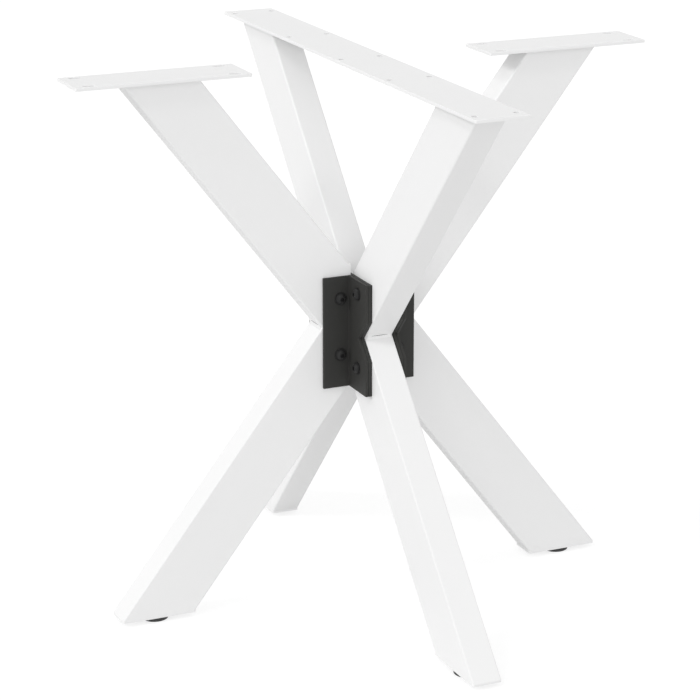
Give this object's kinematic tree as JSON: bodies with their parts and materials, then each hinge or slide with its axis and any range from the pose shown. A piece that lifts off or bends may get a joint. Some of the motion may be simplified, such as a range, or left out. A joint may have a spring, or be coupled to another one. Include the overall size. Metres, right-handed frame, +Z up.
{
  "type": "x shaped table leg base",
  "caption": "Crossed steel table base: bent rectangular tube legs held by dark angle brackets, with flat screw plates on top and levelling feet.",
  "frame": {"origin": "on the floor, in the middle of the base, under the crossing of the legs", "axes": "+X to the right leg, +Y to the rear leg along the long top plate, +Z up"},
  "size_m": [0.79, 0.784, 0.72],
  "materials": {
    "white_powder_coat": "satin white powder coat",
    "black_powder_coat": "fine matte black powder coat",
    "black_steel": "blackened steel, satin",
    "zinc_plated_steel": "bright zinc plating",
    "foot_plastic": "moulded dark grey plastic"
  },
  "bodies": {
    "frame": {"leg_right_upper": "white_powder_coat", "leg_right_lower": "white_powder_coat", "end_plate_right": "white_powder_coat", "knee_plate_right": "white_powder_coat", "leg_left_upper": "white_powder_coat", "leg_left_lower": "white_powder_coat", "end_plate_left": "white_powder_coat", "knee_plate_left": "white_powder_coat", "leg_rear_upper": "white_powder_coat", "leg_rear_lower": "white_powder_coat", "end_plate_rear": "white_powder_coat", "knee_plate_rear": "white_powder_coat", "leg_front_upper": "white_powder_coat", "leg_front_lower": "white_powder_coat", "end_plate_front": "white_powder_coat", "knee_plate_front": "white_powder_coat", "long_top_plate": "white_powder_coat", "short_top_plate_left": "white_powder_coat", "short_top_plate_right": "white_powder_coat", "cross_plate_right": "black_powder_coat", "cross_plate_left": "black_powder_coat", "bracket_rear_right": "black_powder_coat", "bracket_rear_left": "black_powder_coat", "bracket_front_left": "black_powder_coat", "bracket_front_right": "black_powder_coat", "bracket_bolts": "black_steel", "bracket_washers": "black_steel", "rivet_nuts": "zinc_plated_steel", "foot_nuts": "zinc_plated_steel"},
    "right_foot": {"foot_disc_right": "foot_plastic", "foot_stud_right": "zinc_plated_steel"},
    "left_foot": {"foot_disc_left": "foot_plastic", "foot_stud_left": "zinc_plated_steel"},
    "rear_foot": {"foot_disc_rear": "foot_plastic", "foot_stud_rear": "zinc_plated_steel"},
    "front_foot": {"foot_disc_front": "foot_plastic", "foot_stud_front": "zinc_plated_steel"}
  },
  "joints": [
    {"name": "right_foot_screw", "type": "slide", "parent": "frame", "child": "right_foot", "axis": [0, 0, -1], "range_m": [0, 0.01]},
    {"name": "left_foot_screw", "type": "slide", "parent": "frame", "child": "left_foot", "axis": [0, 0, -1], "range_m": [0, 0.01]},
    {"name": "rear_foot_screw", "type": "slide", "parent": "frame", "child": "rear_foot", "axis": [0, 0, -1], "range_m": [0, 0.01]},
    {"name": "front_foot_screw", "type": "slide", "parent": "frame", "child": "front_foot", "axis": [0, 0, -1], "range_m": [0, 0.01]}
  ]
}
